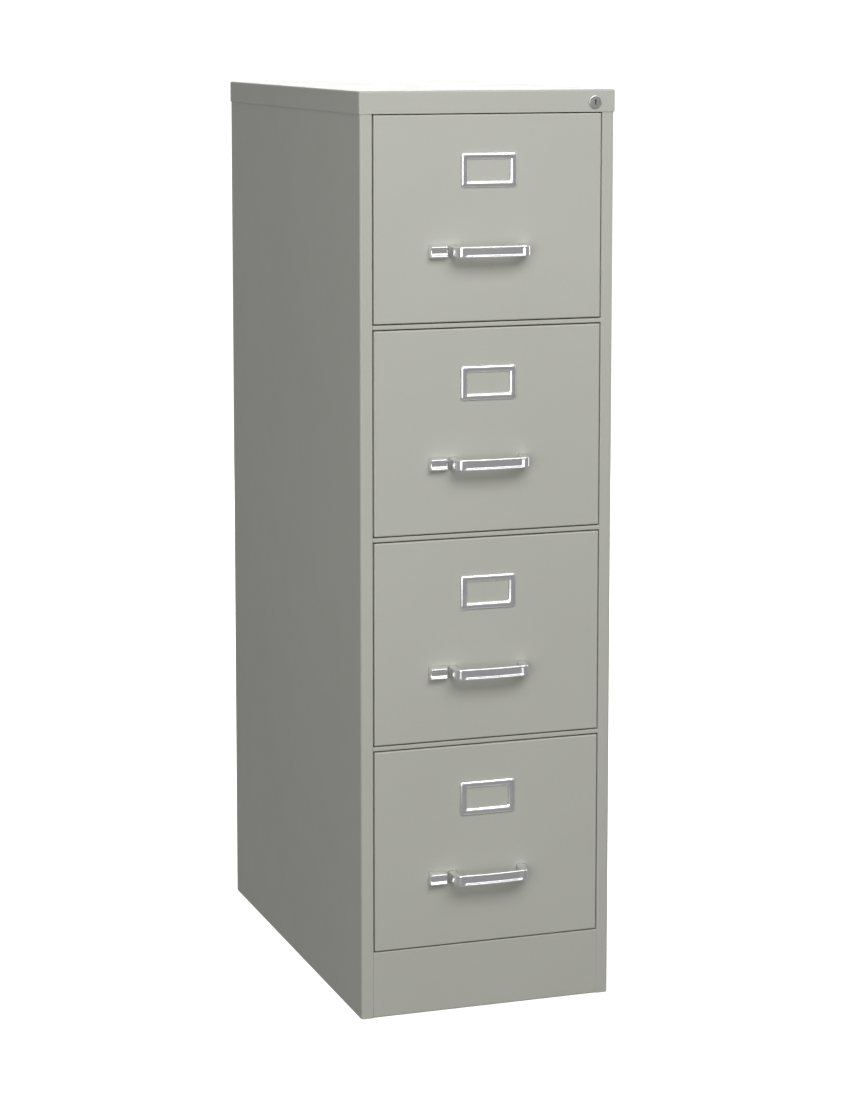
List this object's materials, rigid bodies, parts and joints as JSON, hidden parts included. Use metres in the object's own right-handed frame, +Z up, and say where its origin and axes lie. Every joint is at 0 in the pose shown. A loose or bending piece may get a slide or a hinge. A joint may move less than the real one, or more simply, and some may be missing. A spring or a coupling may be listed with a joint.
{
  "type": "filing cabinet",
  "caption": "Tall vertical filing cabinet in painted sheet steel with stacked full-extension drawers, bow pulls, thumb latches, label holders and a gang lock.",
  "frame": {"origin": "middle of the floor space that the whole object takes, at floor level", "axes": "+X to the right of a person facing the drawers, the drawers face -Y, +Z up"},
  "size_m": [0.381, 0.7032, 1.3208],
  "materials": {
    "case_paint": "light grey baked enamel, satin, faint orange peel",
    "drawer_paint": "light grey baked enamel, satin, faint orange peel",
    "inner_steel": "light grey enamel, thin coat inside the case",
    "zinc_steel": "bright zinc plate",
    "chrome": "polished chrome plate",
    "lock_chrome": "satin chrome plate",
    "nylon": "black nylon"
  },
  "bodies": {
    "case": {"side_panel_left": "case_paint", "side_panel_right": "case_paint", "back_panel": "case_paint", "top_cap": "case_paint", "header_rail": "case_paint", "cross_rails": "case_paint", "toe_panel": "case_paint", "base_frame": "inner_steel", "glides": "nylon", "uprights": "inner_steel", "slide_channels": "zinc_steel", "bar_guides": "inner_steel", "lock_housing": "lock_chrome"},
    "drawer1": {"drawer1_front": "drawer_paint", "drawer1_liner": "drawer_paint", "drawer1_tub": "drawer_paint", "drawer1_back": "drawer_paint", "drawer1_slide_rails": "zinc_steel", "drawer1_pull": "chrome", "drawer1_pull_screws": "zinc_steel", "drawer1_label_holder": "chrome"},
    "drawer1_carriers": {"drawer1_slide_carriers": "zinc_steel"},
    "drawer1_latch": {"drawer1_thumb_latch": "chrome"},
    "drawer1_files_plate": {"drawer1_follower": "zinc_steel"},
    "drawer2": {"drawer2_front": "drawer_paint", "drawer2_liner": "drawer_paint", "drawer2_tub": "drawer_paint", "drawer2_back": "drawer_paint", "drawer2_slide_rails": "zinc_steel", "drawer2_pull": "chrome", "drawer2_pull_screws": "zinc_steel", "drawer2_label_holder": "chrome"},
    "drawer2_carriers": {"drawer2_slide_carriers": "zinc_steel"},
    "drawer2_latch": {"drawer2_thumb_latch": "chrome"},
    "drawer2_files_plate": {"drawer2_follower": "zinc_steel"},
    "drawer3": {"drawer3_front": "drawer_paint", "drawer3_liner": "drawer_paint", "drawer3_tub": "drawer_paint", "drawer3_back": "drawer_paint", "drawer3_slide_rails": "zinc_steel", "drawer3_pull": "chrome", "drawer3_pull_screws": "zinc_steel", "drawer3_label_holder": "chrome"},
    "drawer3_carriers": {"drawer3_slide_carriers": "zinc_steel"},
    "drawer3_latch": {"drawer3_thumb_latch": "chrome"},
    "drawer3_files_plate": {"drawer3_follower": "zinc_steel"},
    "drawer4": {"drawer4_front": "drawer_paint", "drawer4_liner": "drawer_paint", "drawer4_tub": "drawer_paint", "drawer4_back": "drawer_paint", "drawer4_slide_rails": "zinc_steel", "drawer4_pull": "chrome", "drawer4_pull_screws": "zinc_steel", "drawer4_label_holder": "chrome"},
    "drawer4_carriers": {"drawer4_slide_carriers": "zinc_steel"},
    "drawer4_latch": {"drawer4_thumb_latch": "chrome"},
    "drawer4_files_plate": {"drawer4_follower": "zinc_steel"},
    "lock_plug": {"lock_plug": "lock_chrome", "lock_cam": "zinc_steel"},
    "lock_bar": {"lock_bar": "zinc_steel"}
  },
  "joints": [
    {"name": "drawer1_slide", "type": "slide", "parent": "case", "child": "drawer1", "axis": [0, -1, 0], "range_m": [0, 0.59]},
    {"name": "drawer1_carriers_slide", "type": "slide", "parent": "case", "child": "drawer1_carriers", "axis": [0, -1, 0], "range_m": [0, 0.295]},
    {"name": "drawer1_latch_slide", "type": "slide", "parent": "drawer1", "child": "drawer1_latch", "axis": [1, 0, 0], "range_m": [-0.006, 0.003], "stiffness_N_per_m": 120},
    {"name": "drawer1_follower_slide", "type": "slide", "parent": "drawer1", "child": "drawer1_files_plate", "axis": [0, -1, 0], "range_m": [0, 0.46]},
    {"name": "drawer2_slide", "type": "slide", "parent": "case", "child": "drawer2", "axis": [0, -1, 0], "range_m": [0, 0.59]},
    {"name": "drawer2_carriers_slide", "type": "slide", "parent": "case", "child": "drawer2_carriers", "axis": [0, -1, 0], "range_m": [0, 0.295]},
    {"name": "drawer2_latch_slide", "type": "slide", "parent": "drawer2", "child": "drawer2_latch", "axis": [1, 0, 0], "range_m": [-0.006, 0.003], "stiffness_N_per_m": 120},
    {"name": "drawer2_follower_slide", "type": "slide", "parent": "drawer2", "child": "drawer2_files_plate", "axis": [0, -1, 0], "range_m": [0, 0.46]},
    {"name": "drawer3_slide", "type": "slide", "parent": "case", "child": "drawer3", "axis": [0, -1, 0], "range_m": [0, 0.59]},
    {"name": "drawer3_carriers_slide", "type": "slide", "parent": "case", "child": "drawer3_carriers", "axis": [0, -1, 0], "range_m": [0, 0.295]},
    {"name": "drawer3_latch_slide", "type": "slide", "parent": "drawer3", "child": "drawer3_latch", "axis": [1, 0, 0], "range_m": [-0.006, 0.003], "stiffness_N_per_m": 120},
    {"name": "drawer3_follower_slide", "type": "slide", "parent": "drawer3", "child": "drawer3_files_plate", "axis": [0, -1, 0], "range_m": [0, 0.46]},
    {"name": "drawer4_slide", "type": "slide", "parent": "case", "child": "drawer4", "axis": [0, -1, 0], "range_m": [0, 0.59]},
    {"name": "drawer4_carriers_slide", "type": "slide", "parent": "case", "child": "drawer4_carriers", "axis": [0, -1, 0], "range_m": [0, 0.295]},
    {"name": "drawer4_latch_slide", "type": "slide", "parent": "drawer4", "child": "drawer4_latch", "axis": [1, 0, 0], "range_m": [-0.006, 0.003], "stiffness_N_per_m": 120},
    {"name": "drawer4_follower_slide", "type": "slide", "parent": "drawer4", "child": "drawer4_files_plate", "axis": [0, -1, 0], "range_m": [0, 0.46]},
    {"name": "lock_turn", "type": "hinge", "parent": "case", "child": "lock_plug", "pos_m": [0.1595, -0.32155, 1.303], "axis": [0, 1, 0], "range_deg": [0, 90]},
    {"name": "lock_bar_slide", "type": "slide", "parent": "case", "child": "lock_bar", "axis": [0, 0, 1], "range_m": [-0.0184, 0]}
  ],
  "couplings": [
    {"joint": "drawer1_carriers_slide", "follows": "drawer1_slide", "ratio": 0.5},
    {"joint": "drawer2_carriers_slide", "follows": "drawer2_slide", "ratio": 0.5},
    {"joint": "drawer3_carriers_slide", "follows": "drawer3_slide", "ratio": 0.5},
    {"joint": "drawer4_carriers_slide", "follows": "drawer4_slide", "ratio": 0.5},
    {"joint": "lock_turn", "follows": "lock_bar_slide", "rad_per_m": -85.369}
  ]
}
